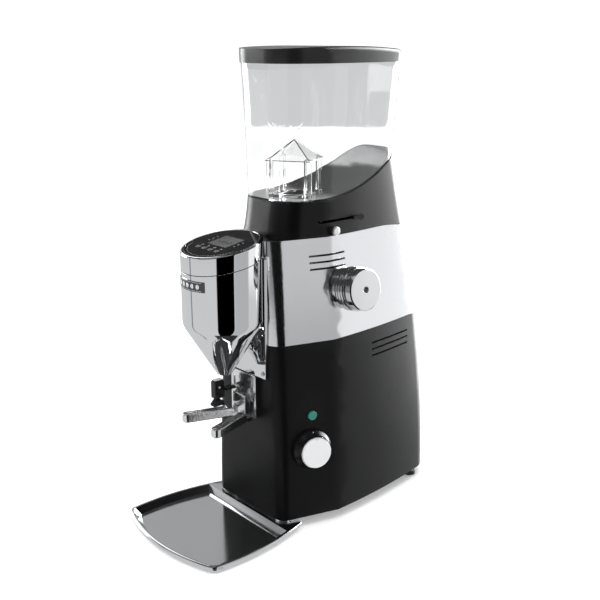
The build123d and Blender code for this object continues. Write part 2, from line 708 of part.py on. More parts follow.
def hopper():
    wall = HOPPER_WALL
    outer = skin(hopper_section, SEAM_Z, HOPPER_TOP_Z) & above_seam()
    inner = skin(hopper_section, SEAM_Z - 2, LID_LOW_Z + 10, wall) & above_seam(wall)
    neck = rod(0, BURR_Y, 402.5, SEAM_Z + wall, NECK_R)
    guide = block(-27, 27, 62, 178, GATE_Z - 4, GATE_Z - 0.5)
    body = outer - inner + neck + guide - rod(0, BURR_Y, 390, SEAM_Z + 10, THROAT_R)
    gate_way = block(-25.5, 25.5, BURR_Y - 21.8, 180, GATE_Z - 0.5, GATE_Z + GATE_T + 0.4)
    socket = cross_rod(19.6, 40, LOCK_Y, LOCK_Z, 2.9)
    return body - gate_way - socket


def hopper_gate():
    plate = block(-24, 24, 124.6, 176, GATE_Z, GATE_Z + GATE_T)
    arm = block(23, 66, 138, 147, GATE_Z, GATE_Z + GATE_T)
    arrow = make_face(Polyline((134, GATE_Z - 1), (149, GATE_Z - 4), (154, GATE_Z + 1), (149, GATE_Z + 4.5),
                               (134, GATE_Z + 2.4), close=True))
    return plate + arm + Pos(64.2, 0, 0) * extrude(Plane.YZ * arrow, 2.4)


def finger_guard():
    """Pyramid roof on four corner posts over the throat, to keep fingers out."""
    base = SEAM_Z + HOPPER_WALL
    half, wall = GUARD_HALF, 2.4

    def roof(side, tip, drop):
        eave = Pos(0, 0, GUARD_EAVE_Z - drop) * Rectangle(side, side)
        return loft([eave, Pos(0, 0, GUARD_TOP_Z - drop) * Rectangle(tip, tip)])

    guard = roof(2 * half, 2, 0) - roof(2 * half - 1, 1, wall)
    post = block(22.5, 30.5, 22.5, 25, base, GUARD_EAVE_Z + 2)
    post += block(22.5, 25, 22.5, 30.5, base, GUARD_EAVE_Z + 2)
    for i in range(4):
        guard += Rot(0, 0, 90 * i) * post
    guard += block(-26.5, 26.5, -26.5, 26.5, base, base + 2) - rod(0, 0, base - 1, base + 5, THROAT_R + 1)
    return Pos(0, BURR_Y, 0) * Rot(0, 0, GUARD_TURN) * guard & above_seam(HOPPER_WALL)


def hopper_lid():
    def lid_section(z, inset=0.0):
        widest = min(z, LID_LOW_Z + 10)
        return hopper_section(widest, inset - 1).moved(Location((0, 0, z - widest)))

    shell = skin(lid_section, LID_LOW_Z, LID_TOP_Z)
    crown_r = 1500.0
    crown = Pos(0, 120, LID_TOP_Z - crown_r) * Rot(0, 90, 0) * Cylinder(crown_r, 300)
    shell = shell & crown
    shell = fillet(shell.edges().group_by(Axis.Z)[-1], 7)
    rim = skin(lid_section, LID_LOW_Z - 1, HOPPER_TOP_Z + 0.05, 0.7)
    hollow = skin(lid_section, LID_LOW_Z - 1, LID_TOP_Z - 2, 5) & Pos(0, 0, -LID_WALL) * crown
    return shell - rim - hollow


def lock_knob():
    surface = 62 + 1.9e-3 * (LOCK_Z - SEAM_Z) ** 2 - 0.5
    pin = cross_rod(20, 42, LOCK_Y, LOCK_Z, 2.4) + cross_rod(40, surface + 7, LOCK_Y, LOCK_Z, 3)
    disc = cross_rod(surface + 6, surface + 10, LOCK_Y, LOCK_Z, 6)
    collar = cross_rod(surface + 1.6, surface + 6.5, LOCK_Y, LOCK_Z, 4)
    return pin + collar + fillet(disc.edges(), 1)


PARTS = {
    "base_plate": base_plate,
    "lower_casing": lower_casing,
    "middle_band": middle_band,
    "hopper_collar": hopper_collar,
    "foot_shanks": foot_shanks,
    "foot_pads": foot_pads,
    "cable_gland": cable_gland,
    "frame_pillars": frame_pillars,
    "top_plate": top_plate,
    "grinding_chamber": grinding_chamber,
    "upper_burr": upper_burr,
    "lower_burr": lower_burr,
    "burr_bolt": burr_bolt,
    "sweeper": sweeper,
    "drive_shaft": drive_shaft,
    "upper_bearing": lambda: bearing(303, 315),
    "lower_bearing": lambda: bearing(66, 76),
    "adjusting_sleeve": adjusting_sleeve,
    "motor_top_shield": motor_top_shield,
    "motor_bottom_shield": motor_bottom_shield,
    "motor_housing": motor_housing,
    "motor_stator": motor_stator,
    "motor_rotor": motor_rotor,
    "cooling_fan": cooling_fan,
    "run_capacitor": run_capacitor,
    "control_board": control_board,
    "knob_flange": knob_flange,
    "grind_knob": grind_knob,
    "knob_screw": knob_screw,
    "worm_shaft": worm_shaft,
    "switch_body": switch_body,
    "switch_knob": switch_knob,
    "switch_cap": switch_cap,
    "pilot_light": pilot_light,
    "display_ring": display_ring,
    "control_panel": control_panel,
    "lcd_screen": lcd_screen,
    "display_board": display_board,
    "funnel": funnel,
    "badge": badge,
    "apron": apron,
    "apron_screws": apron_screws,
    "outlet_chute": outlet_chute,
    "fork_bracket": fork_bracket,
    "fork_slide": fork_slide,
    "fork_screws": fork_screws,
    "fork_prong_left": lambda: fork_prong(-1),
    "fork_prong_right": lambda: fork_prong(1),
    "start_switch": start_switch,
    "start_lever": start_lever,
    "catch_tray": catch_tray,
    "hopper": hopper,
    "hopper_gate": hopper_gate,
    "finger_guard": finger_guard,
    "hopper_lid": hopper_lid,
    "lock_knob": lock_knob,
}
for number, place in enumerate(key_places(), start=1):
    PARTS[f"panel_key_{number}"] = lambda x=place: panel_key(x)

# the machine's box runs from the tray's left side to the grind knob, and from tray to cable gland
ORIGIN = Vector(5.5, 75.25, 0)


def build():
    os.makedirs("parts", exist_ok=True)
    for name, make in PARTS.items():
        shape = make()
        solids = shape if isinstance(shape, list) else [shape]
        moved = [(Pos(-ORIGIN.X, -ORIGIN.Y, -ORIGIN.Z) * solid) for solid in solids]
        export_step(moved[0] if len(moved) == 1 else Compound(children=moved), f"parts/{name}.step")


if __name__ == "__main__":
    build()
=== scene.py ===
import json
from math import cos, pi, radians, sin
import bmesh
import bpy
from mathutils import Matrix, Vector


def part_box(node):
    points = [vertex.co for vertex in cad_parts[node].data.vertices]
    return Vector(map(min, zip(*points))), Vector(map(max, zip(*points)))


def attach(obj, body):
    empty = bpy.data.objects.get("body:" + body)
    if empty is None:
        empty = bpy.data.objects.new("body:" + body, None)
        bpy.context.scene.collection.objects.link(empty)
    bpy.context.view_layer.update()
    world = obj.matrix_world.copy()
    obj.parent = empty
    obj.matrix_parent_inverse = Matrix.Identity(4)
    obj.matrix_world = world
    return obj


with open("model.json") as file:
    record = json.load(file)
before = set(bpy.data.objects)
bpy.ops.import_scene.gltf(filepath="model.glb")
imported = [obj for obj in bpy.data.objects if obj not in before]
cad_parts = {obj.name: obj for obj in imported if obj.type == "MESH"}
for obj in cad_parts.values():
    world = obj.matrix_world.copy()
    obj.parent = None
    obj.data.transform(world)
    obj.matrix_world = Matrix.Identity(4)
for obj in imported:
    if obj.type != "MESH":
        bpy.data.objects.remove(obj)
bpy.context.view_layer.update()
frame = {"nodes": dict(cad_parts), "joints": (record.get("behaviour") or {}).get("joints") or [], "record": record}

MM = 0.001
JOINTS = {joint["name"]: joint for joint in frame["joints"]}

# edges sharper than these stay crisp: on the machine's solids, and on the pieces added here
SOLID_CREASE = radians(24)
PIECE_CREASE = radians(32)
# corners of one solid closer than this are one corner (metres)
SAME_CORNER = 2e-6
# printed strokes (millimetres): how thick the ink is, and how far it stands off the face below
INK = 0.05
INK_LIFT = 0.01


# ---- shader building ----
def new_group(name, inputs, outputs):
    """Empty shader node group; inputs are (name, kind, value) and outputs are (name, kind)."""
    tree = bpy.data.node_groups.new(name, "ShaderNodeTree")
    for label, kind, value in inputs:
        socket = tree.interface.new_socket(name=label, in_out="INPUT", socket_type=kind)
        socket.default_value = value
    for label, kind in outputs:
        tree.interface.new_socket(name=label, in_out="OUTPUT", socket_type=kind)
    return tree, tree.nodes.new("NodeGroupInput"), tree.nodes.new("NodeGroupOutput")


def noise(tree, vector, scale, detail=3.0, roughness=0.5):
    node = tree.nodes.new("ShaderNodeTexNoise")
    node.inputs["Detail"].default_value = detail
    node.inputs["Roughness"].default_value = roughness
    tree.links.new(vector, node.inputs["Vector"])
    if isinstance(scale, (int, float)):
        node.inputs["Scale"].default_value = scale
    else:
        tree.links.new(scale, node.inputs["Scale"])
    return node.outputs["Fac"]


def maths(tree, kind, a, b=None, clamp=False):
    node = tree.nodes.new("ShaderNodeMath")
    node.operation = kind
    node.use_clamp = clamp
    for socket, value in zip(node.inputs, (a, b)):
        if value is None:
            continue
        if isinstance(value, (int, float)):
            socket.default_value = value
        else:
            tree.links.new(value, socket)
    return node.outputs[0]


def spread(tree, value, from_low, from_high, to_low, to_high, smooth=False):
    node = tree.nodes.new("ShaderNodeMapRange")
    node.interpolation_type = "SMOOTHSTEP" if smooth else "LINEAR"
    for socket, item in zip(node.inputs, (value, from_low, from_high, to_low, to_high)):
        if isinstance(item, (int, float)):
            socket.default_value = item
        else:
            tree.links.new(item, socket)
    return node.outputs[0]


def blend_colour(tree, share, a, b):
    node = tree.nodes.new("ShaderNodeMix")
    node.data_type = "RGBA"
    tree.links.new(share, node.inputs[0])
    for socket, value in ((node.inputs[6], a), (node.inputs[7], b)):
        if isinstance(value, tuple):
            socket.default_value = (*value, 1)
        else:
            tree.links.new(value, socket)
    return node.outputs[2]


def handling_group():
    """Faint smears and fine scratches left by wiping: changes roughness a little over the surface."""
    tree, given, made = new_group(
        "wiping marks",
        [("Vector", "NodeSocketVector", (0, 0, 0)), ("Roughness", "NodeSocketFloat", 0.2),
         ("Amount", "NodeSocketFloat", 0.05), ("Size", "NodeSocketFloat", 18.0)],
        [("Roughness", "NodeSocketFloat"), ("Smear", "NodeSocketFloat")])
    smear = noise(tree, given.outputs["Vector"], given.outputs["Size"], 6, 0.6)
    fine = noise(tree, given.outputs["Vector"], maths(tree, "MULTIPLY", given.outputs["Size"], 22.0), 2)
    mixed = maths(tree, "ADD", maths(tree, "MULTIPLY", smear, 0.75), maths(tree, "MULTIPLY", fine, 0.25))
    centred = maths(tree, "SUBTRACT", mixed, 0.5)
    change = maths(tree, "MULTIPLY", maths(tree, "MULTIPLY", centred, 3.0), given.outputs["Amount"])
    rough = maths(tree, "ADD", change, given.outputs["Roughness"], clamp=True)
    tree.links.new(rough, made.inputs["Roughness"])
    tree.links.new(mixed, made.inputs["Smear"])
    return tree


def grain_group():
    """Straight brushed or turned grain: fine lines along one direction of the given vector."""
    tree, given, made = new_group(
        "fine metal grain",
        [("Vector", "NodeSocketVector", (0, 0, 0)), ("Stretch", "NodeSocketVector", (1, 40, 40)),
         ("Roughness", "NodeSocketFloat", 0.2), ("Amount", "NodeSocketFloat", 0.1)],
        [("Height", "NodeSocketFloat"), ("Roughness", "NodeSocketFloat")])
    stretched = tree.nodes.new("ShaderNodeVectorMath")
    stretched.operation = "MULTIPLY"
    tree.links.new(given.outputs["Vector"], stretched.inputs[0])
    tree.links.new(given.outputs["Stretch"], stretched.inputs[1])
    lines = noise(tree, stretched.outputs[0], 60.0, 3, 0.6)
    centred = maths(tree, "SUBTRACT", lines, 0.5)
    change = maths(tree, "MULTIPLY", centred, given.outputs["Amount"])
    rough = maths(tree, "ADD", change, given.outputs["Roughness"], clamp=True)
    tree.links.new(lines, made.inputs["Height"])
    tree.links.new(rough, made.inputs["Roughness"])
    return tree


def moulding_group():
    """Very fine unevenness of lacquer or moulded plastic, as a height."""
    tree, given, made = new_group(
        "moulded skin",
        [("Vector", "NodeSocketVector", (0, 0, 0)), ("Size", "NodeSocketFloat", 600.0),
         ("Waviness", "NodeSocketFloat", 0.3)],
        [("Height", "NodeSocketFloat")])
    fine = noise(tree, given.outputs["Vector"], given.outputs["Size"], 2)
    broad = noise(tree, given.outputs["Vector"], maths(tree, "MULTIPLY", given.outputs["Size"], 0.06), 1)
    total = maths(tree, "ADD", fine, maths(tree, "MULTIPLY", broad, given.outputs["Waviness"]))
    tree.links.new(total, made.inputs["Height"])
    return tree


DUST_GREY = (0.55, 0.53, 0.5)


def dust_group():
    """Thin dust on faces that look upwards."""
    tree, given, made = new_group(
        "settled dust",
        [("Vector", "NodeSocketVector", (0, 0, 0)), ("Color", "NodeSocketColor", (0, 0, 0, 1)),
         ("Amount", "NodeSocketFloat", 0.05)],
        [("Color", "NodeSocketColor"), ("Mask", "NodeSocketFloat")])
    shape = tree.nodes.new("ShaderNodeNewGeometry")
    parts = tree.nodes.new("ShaderNodeSeparateXYZ")
    tree.links.new(shape.outputs["Normal"], parts.inputs[0])
    upwards = spread(tree, parts.outputs["Z"], 0.3, 0.95, 0.0, 1.0, smooth=True)
    patches = spread(tree, noise(tree, given.outputs["Vector"], 55.0, 6, 0.7), 0.4, 0.75, 0.0, 1.0)
    mask = maths(tree, "MULTIPLY", maths(tree, "MULTIPLY", upwards, patches), given.outputs["Amount"])
    dusted = blend_colour(tree, mask, given.outputs["Color"], DUST_GREY)
    tree.links.new(dusted, made.inputs["Color"])
    tree.links.new(mask, made.inputs["Mask"])
    return tree


def edge_group():
    """Mask of worn outer edges from the surface's own sharpness."""
    tree, given, made = new_group(
        "rubbed edges",
        [("Vector", "NodeSocketVector", (0, 0, 0)), ("Amount", "NodeSocketFloat", 0.5)],
        [("Mask", "NodeSocketFloat")])
    shape = tree.nodes.new("ShaderNodeNewGeometry")
    sharp = spread(tree, shape.outputs["Pointiness"], 0.53, 0.62, 0.0, 1.0)
    broken = spread(tree, noise(tree, given.outputs["Vector"], 160.0, 4, 0.7), 0.35, 0.65, 0.0, 1.0)
    mask = maths(tree, "MULTIPLY", maths(tree, "MULTIPLY", sharp, broken), given.outputs["Amount"])
    tree.links.new(mask, made.inputs["Mask"])
    return tree


def soft_edge_group():
    """Normal that rounds sharp edges slightly, as a tumbled or moulded edge is."""
    tree, given, made = new_group(
        "soft edges", [("Radius", "NodeSocketFloat", 0.0005)], [("Normal", "NodeSocketVector")])
    round_over = tree.nodes.new("ShaderNodeBevel")
    round_over.samples = 4
    tree.links.new(given.outputs["Radius"], round_over.inputs["Radius"])
    tree.links.new(round_over.outputs["Normal"], made.inputs["Normal"])
    return tree


WIPING = handling_group()
GRAIN = grain_group()
MOULDING = moulding_group()
DUST = dust_group()
EDGES = edge_group()
SOFT = soft_edge_group()


def place(tree, group, **values):
    node = tree.nodes.new("ShaderNodeGroup")
    node.node_tree = group
    for name, value in values.items():
        socket = node.inputs[name]
        if isinstance(value, bpy.types.NodeSocket):
            tree.links.new(value, socket)
        else:
            socket.default_value = value
    return node


def finish_of(name, colour, metallic=0.0, roughness=0.3, coat=0.0, edge=0.0004):
    """New material with its shader, edges rounded by edge metres, and object coordinates to build on."""
    made = bpy.data.materials.new(name)
    made.use_nodes = True
    tree = made.node_tree
    shader = tree.nodes["Principled BSDF"]
    shader.inputs["Base Color"].default_value = (*colour, 1)
    shader.inputs["Metallic"].default_value = metallic
    shader.inputs["Roughness"].default_value = roughness
    shader.inputs["Coat Weight"].default_value = coat
    shader.inputs["Coat Roughness"].default_value = 0.06
    where = tree.nodes.new("ShaderNodeTexCoord").outputs["Object"]
    if edge:
        rounded = place(tree, SOFT, Radius=edge)
        tree.links.new(rounded.outputs["Normal"], shader.inputs["Normal"])
    return made, tree, shader, where


def raise_bump(tree, shader, height, distance):
    """Bump with its full height in metres, on top of the rounded edges if the shader has them."""
    bump = tree.nodes.new("ShaderNodeBump")
    bump.inputs["Strength"].default_value = 1.0
    bump.inputs["Distance"].default_value = distance
    tree.links.new(height, bump.inputs["Height"])
    for rounded in shader.inputs["Normal"].links:
        tree.links.new(rounded.from_socket, bump.inputs["Normal"])
    tree.links.new(bump.outputs["Normal"], shader.inputs["Normal"])


def plastic(name, colour, roughness, coat=0.0, bump=1e-5, dust=0.04, size=700.0, rub=0.0, gloss=0.5):
    """Moulded or lacquered surface: fine skin, wiping marks, a trace of dust and paler rubbed edges."""
    made, tree, shader, where = finish_of(name, colour, 0, roughness, coat)
    shader.inputs["Specular IOR Level"].default_value = gloss
    marks = place(tree, WIPING, Vector=where, Roughness=roughness, Amount=0.35 * roughness)
    tree.links.new(marks.outputs["Roughness"], shader.inputs["Roughness"])
    dusty = place(tree, DUST, Vector=where, Color=(*colour, 1), Amount=dust)
    shade = dusty.outputs["Color"]
    if rub:
        worn = place(tree, EDGES, Vector=where, Amount=rub)
        paler = tuple(min(1.0, 2.2 * c + 0.04) for c in colour)
        shade = blend_colour(tree, worn.outputs["Mask"], shade, paler)
    tree.links.new(shade, shader.inputs["Base Color"])
    skin = place(tree, MOULDING, Vector=where, Size=size)
    raise_bump(tree, shader, skin.outputs["Height"], bump)
    return made


def metal(name, colour, roughness, stretch, grain, bump, smear=0.03):
    """Metal with its grain along the axis that stretch keeps small, and faint smears."""
    made, tree, shader, where = finish_of(name, colour, 1, roughness, 0, 0.0003)
    lines = place(tree, GRAIN, Vector=where, Stretch=stretch, Roughness=roughness, Amount=grain)
    marks = place(tree, WIPING, Vector=where, Roughness=lines.outputs["Roughness"], Amount=smear)
    tree.links.new(marks.outputs["Roughness"], shader.inputs["Roughness"])
    darker = tuple(c * 0.93 for c in colour)
    tree.links.new(blend_colour(tree, marks.outputs["Smear"], colour, darker), shader.inputs["Base Color"])
    raise_bump(tree, shader, lines.outputs["Height"], bump)
    return made


def clear_plastic(name, colour, roughness):
    """Clear moulded plastic with faint wiping marks."""
    made, tree, shader, where = finish_of(name, colour, 0, roughness, 0, 0)
    shader.inputs["Transmission Weight"].default_value = 1.0
    shader.inputs["IOR"].default_value = 1.46
    marks = place(tree, WIPING, Vector=where, Roughness=roughness, Amount=0.015, Size=9.0)
    tree.links.new(marks.outputs["Roughness"], shader.inputs["Roughness"])
    skin = place(tree, MOULDING, Vector=where, Size=25.0, Waviness=1.5)
    raise_bump(tree, shader, skin.outputs["Height"], 3e-6)
    return made


def display_glass(name):
    """Grey liquid crystal display behind gloss, a little lighter to one side."""
    made, tree, shader, where = finish_of(name, (0.07, 0.075, 0.07), 0, 0.25, 1.0, 0.0002)
    parts = tree.nodes.new("ShaderNodeSeparateXYZ")
    tree.links.new(where, parts.inputs[0])
    across = spread(tree, parts.outputs["X"], -0.03, 0.02, 0.0, 1.0, smooth=True)
    cells = noise(tree, where, 900.0, 1)
    share = maths(tree, "ADD", maths(tree, "MULTIPLY", cells, 0.15), maths(tree, "MULTIPLY", across, 0.85))
    shade = blend_colour(tree, share, (0.05, 0.052, 0.05), (0.1, 0.105, 0.1))
    tree.links.new(shade, shader.inputs["Base Color"])
    return made


def lamp_lens(name):
    """Green lens with small prisms, faintly lit."""
    made, tree, shader, where = finish_of(name, (0.01, 0.16, 0.12), 0, 0.12, 1.0, 0.0003)
    shader.inputs["Emission Strength"].default_value = 0.05
    ribs = tree.nodes.new("ShaderNodeTexVoronoi")
    ribs.inputs["Scale"].default_value = 1100.0
    tree.links.new(where, ribs.inputs["Vector"])
    tint = blend_colour(tree, ribs.outputs["Distance"], (0.01, 0.2, 0.14), (0.004, 0.1, 0.08))
    tree.links.new(tint, shader.inputs["Base Color"])
    tree.links.new(tint, shader.inputs["Emission Color"])
    raise_bump(tree, shader, ribs.outputs["Distance"], 8e-5)
    return made


def circuit_board(name):
    """Green varnish with paler tracks under it."""
    made, tree, shader, where = finish_of(name, (0.01, 0.09, 0.04), 0, 0.35, 0.4)
    tracks = tree.nodes.new("ShaderNodeTexBrick")
    tracks.inputs["Scale"].default_value = 90.0
    tracks.inputs["Mortar Size"].default_value = 0.04
    tracks.inputs["Color1"].default_value = (0.008, 0.08, 0.035, 1)
    tracks.inputs["Color2"].default_value = (0.012, 0.1, 0.045, 1)
    tracks.inputs["Mortar"].default_value = (0.05, 0.2, 0.08, 1)
    tree.links.new(where, tracks.inputs["Vector"])
    tree.links.new(tracks.outputs["Color"], shader.inputs["Base Color"])
    return made


def cast_chrome(name):
    """Bright plating over a casting whose surface still waves a little."""
    made, tree, shader, where = finish_of(name, (0.93, 0.935, 0.94), 1, 0.16, 0, 0.0008)
    marks = place(tree, WIPING, Vector=where, Roughness=0.16, Amount=0.06, Size=30.0)
    tree.links.new(marks.outputs["Roughness"], shader.inputs["Roughness"])
    waves = place(tree, MOULDING, Vector=where, Size=240.0, Waviness=12.0)
    raise_bump(tree, shader, waves.outputs["Height"], 1.2e-4)
    return made


STEEL = (0.72, 0.73, 0.74)
CHROME = (0.88, 0.89, 0.9)
FINISHES = {
    "casing_black": plastic("satin black lacquer", (0.0015, 0.0015, 0.0015), 0.42, 0, 3e-6,
                            dust=0.01, rub=0.1, gloss=0.23),
    "band_polished": metal("polished aluminium", (0.86, 0.87, 0.885), 0.15, (3, 3, 60), 0.04, 1e-7, 0.02),
    "collar_gloss": plastic("dark gloss plastic", (0.0015, 0.0015, 0.002), 0.36, 0, 3e-6,
                            dust=0.01, rub=0.1, gloss=0.3),
    "lid_black": plastic("lid black plastic", (0.007, 0.007, 0.007), 0.32, 0, 5e-6,
                         dust=0.03, rub=0.2, gloss=0.4),
    "hopper_clear": clear_plastic("clear hopper plastic", (0.985, 0.99, 0.99), 0.02),
    "chrome": metal("mirror chrome", CHROME, 0.035, (2, 2, 2), 0.02, 0.0, 0.02),
    "screw_steel": metal("screw steel", STEEL, 0.22, (30, 30, 2), 0.12, 4e-7),
    "rubber_black": plastic("foot rubber", (0.015, 0.015, 0.015), 0.75, 0, 3e-5, size=1500.0),
    "gland_black": plastic("gland plastic", (0.014, 0.014, 0.014), 0.45, 0, 2e-5),
    "frame_steel": metal("frame steel", (0.55, 0.56, 0.57), 0.35, (2, 40, 40), 0.15, 2e-6),
    "cast_aluminium": metal("cast aluminium", (0.6, 0.6, 0.61), 0.45, (8, 8, 8), 0.2, 2e-5),
    "burr_steel": metal("ground burr steel", (0.5, 0.5, 0.52), 0.25, (40, 40, 3), 0.15, 2e-6),
    "bearing_steel": metal("bearing steel", (0.7, 0.7, 0.72), 0.15, (2, 2, 60), 0.08, 5e-7),
    "wheel_brass": metal("turned brass", (0.78, 0.58, 0.26), 0.2, (3, 3, 60), 0.1, 1e-6),
    "worm_steel": metal("turned worm steel", (0.6, 0.6, 0.62), 0.2, (60, 3, 3), 0.1, 1e-6),
    "core_iron": metal("laminated iron", (0.22, 0.21, 0.21), 0.5, (2, 2, 90), 0.2, 1e-5),
    "fan_plastic": plastic("fan plastic", (0.03, 0.03, 0.03), 0.5),
    "capacitor_case": plastic("capacitor case", (0.7, 0.7, 0.68), 0.4),
    "board_green": circuit_board("varnished circuit board"),
    "switch_black": plastic("switch black plastic", (0.004, 0.004, 0.0045), 0.22, 0, 4e-6,
                            dust=0.01, rub=0.3, gloss=0.3),
    "cap_silver": plastic("pale grey cap", (0.6, 0.61, 0.62), 0.3, 0.3),
    "lamp_green": lamp_lens("green lamp lens"),
    "panel_gloss": plastic("gloss black panel", (0.006, 0.006, 0.007), 0.06, 1.0, 1e-6, dust=0.02),
    "lcd_grey": display_glass("grey display glass"),
    "key_grey": plastic("key rubber", (0.05, 0.05, 0.052), 0.3, 0.2),
    "badge_black": plastic("badge black gloss", (0.01, 0.01, 0.012), 0.08, 1.0, 1e-6),
}
CAST_CHROME = cast_chrome("plated castings")
TRAY_STEEL = metal("polished tray steel", (0.8, 0.81, 0.82), 0.12, (2, 50, 2), 0.07, 3e-7, 0.05)
KNOB_CHROME = metal("turned knob chrome", CHROME, 0.1, (60, 3, 3), 0.05, 3e-7, 0.02)
SATIN_STEEL = metal("satin pin steel", (0.9, 0.9, 0.9), 0.42, (3, 60, 60), 0.05, 3e-7, 0.02)
PRINT_WHITE = plastic("printed marks", (0.55, 0.56, 0.57), 0.4)
DISPLAY_INK = plastic("display ink", (0.018, 0.019, 0.018), 0.5)
PALE_GREY = plastic("pale grey plastic", (0.42, 0.43, 0.44), 0.4)
SEAL_BLACK = plastic("seal rubber", (0.008, 0.008, 0.008), 0.6)


# ---- pieces carried over from the solid model ----
def dress_frame():
    """Every solid gets its finish, with its faces shaded smooth between real edges."""
    slots = {row["node"]: row["material_slot"] for row in frame["record"]["subparts"]}
    special = {"catch_tray": TRAY_STEEL, "grind_knob": KNOB_CHROME, "knob_flange": KNOB_CHROME,
               "lock_knob": SATIN_STEEL,
               "fork_bracket": CAST_CHROME, "fork_slide": CAST_CHROME,
               "fork_prong_left": CAST_CHROME, "fork_prong_right": CAST_CHROME}
    for name, item in frame["nodes"].items():
        item.data.materials.clear()
        item.data.materials.append(special.get(name, FINISHES[slots[name]]))
        item.data.polygons.foreach_set("use_smooth", [True] * len(item.data.polygons))
        weld = item.modifiers.new("weld", "WELD")
        weld.merge_threshold = SAME_CORNER
        split = item.modifiers.new("edges", "EDGE_SPLIT")
        split.split_angle = SOLID_CREASE


# ---- new pieces ----
# turns a frame's z to the machine's right
ALONG_X = Matrix.Rotation(radians(90), 4, "Y")


def add_piece(name, mesh_maker, finish, body, smooth=True):
    """Object from a bmesh that mesh_maker fills, riding on a body."""
    mesh = bpy.data.meshes.new(name)
    form = bmesh.new()
    mesh_maker(form)
    bmesh.ops.recalc_face_normals(form, faces=form.faces)
    form.to_mesh(mesh)
    form.free()
    piece = bpy.data.objects.new(name, mesh)
    bpy.context.scene.collection.objects.link(piece)
    mesh.materials.append(finish)
    if smooth:
        mesh.polygons.foreach_set("use_smooth", [True] * len(mesh.polygons))
        split = piece.modifiers.new("edges", "EDGE_SPLIT")
        split.split_angle = PIECE_CREASE
    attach(piece, body)


def extent_along(node, axis):
    """Lowest and highest distance of a node's surface along an axis."""
    reach = [vertex.co.dot(axis) for vertex in frame["nodes"][node].data.vertices]
    return min(reach), max(reach)


def seat_on(node, axis):
    """Frame on the outermost face of a node: its z is the axis, its y points up along the face."""
    axis = Vector(axis).normalized()
    low_corner, high_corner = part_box(node)
    centre = (low_corner + high_corner) / 2
    centre += axis * (extent_along(node, axis)[1] - centre.dot(axis))
    side = Vector((0, 0, 1)).cross(axis).normalized()
    up = axis.cross(side)
    return Matrix.Translation(centre) @ Matrix((side, up, axis)).transposed().to_4x4()


def close_between(form, lower, upper):
    """Solid between two rings of corners: both end faces and the side faces."""
    form.faces.new(lower)
    form.faces.new(upper)
    for i in range(len(lower)):
        j = (i + 1) % len(lower)
        form.faces.new((lower[i], lower[j], upper[j], upper[i]))


def slab(form, where, outline, thickness, base=0.0):
    """Flat plate with the given outline (millimetres) standing on a frame."""
    lower = [form.verts.new(where @ Vector((x * MM, y * MM, base * MM))) for x, y in outline]
    upper = [form.verts.new(where @ Vector((x * MM, y * MM, (base + thickness) * MM))) for x, y in outline]
    close_between(form, lower, upper)


def lathe(form, where, profile, segments=64):
    """Closed ring turned about a frame's z from (radius, height) corners in millimetres."""
    rings = []
    for i in range(segments):
        turn = 2 * pi * i / segments
        rings.append([form.verts.new(where @ Vector((r * cos(turn) * MM, r * sin(turn) * MM, h * MM)))
                      for r, h in profile])
    for i in range(segments):
        one, two = rings[i], rings[(i + 1) % segments]
        for j in range(len(profile)):
            k = (j + 1) % len(profile)
            form.faces.new((one[j], two[j], two[k], one[k]))


def disc(x, y, radius, count=20):
    """Outline of a round dot."""
    turns = [2 * pi * i / count for i in range(count)]
    return [(x + radius * cos(a), y + radius * sin(a)) for a in turns]


def strip(x0, y0, x1, y1, width):
    """Outline of a short printed line."""
    length = Vector((x1 - x0, y1 - y0)).length
    nx, ny = -(y1 - y0) / length * width / 2, (x1 - x0) / length * width / 2
    return [(x0 + nx, y0 + ny), (x0 - nx, y0 - ny), (x1 - nx, y1 - ny), (x1 + nx, y1 + ny)]


def printed_lines(form, where, lines, width=0.35):
    for line in lines:
        slab(form, where, strip(*line, width), INK, INK_LIFT)


def cup_lines(x, y, size):
    """Small cup drawn with a few strokes."""
    w, h = 1.5 * size, 1.7 * size
    return [(x - w, y + h, x + w, y + h),
            (x - w, y + h, x - 0.6 * w, y - h),
            (x + w, y + h, x + 0.6 * w, y - h),
            (x - 0.6 * w, y - h, x + 0.6 * w, y - h),
            (x + w, y + 0.5 * h, x + 1.6 * w, y + 0.5 * h),
            (x + 1.6 * w, y + 0.5 * h, x + 0.8 * w, y - 0.4 * h)]


def panel_up():
    """Way that the tilted display panel faces."""
    return -Vector(JOINTS["key_press_1"]["axis"])


def centre_on(where, node):
    """Middle of a node, in millimetres along a frame's x and y."""
    low_corner, high_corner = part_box(node)
    local = where.inverted() @ ((low_corner + high_corner) / 2)
    return local.x / MM, local.y / MM


def panel_print():
    """Print on the display panel: a cup over each key, marks beside the display and a dashed arc."""
    where = seat_on("control_panel", panel_up())

    def fill(form):
        for number in (1, 2, 3, 4):
            x, y = centre_on(where, f"panel_key_{number}")
            printed_lines(form, where, cup_lines(x - 0.4, y + 6.4, 0.65 + 0.2 * (number % 2)))
            printed_lines(form, where, [(x - 3.4, y - 3.6, x + 3.4, y - 3.6)], 0.25)
        y = centre_on(where, "lcd_screen")[1]
        for side in (-1, 1):
            x = 25.5 * side
            middle = x + 1.7 * side
            printed_lines(form, where, [(x, y - 7, x + 3.4 * side, y - 7),
                                        (x, y + 7, x + 3.4 * side, y + 7),
                                        (middle, y - 1.6, middle, y + 1.6)], 0.4)
            slab(form, where, disc(middle, y + 0.2, 0.75), INK, INK_LIFT)
        for angle in range(200, 341, 5):
            a, b = radians(angle), radians(angle + 3.4)
            dash = (44.5 * cos(a), 44.5 * sin(a), 44.5 * cos(b), 44.5 * sin(b))
            printed_lines(form, where, [dash], 0.25)

    add_piece("panel_print", fill, PRINT_WHITE, "casing", smooth=False)


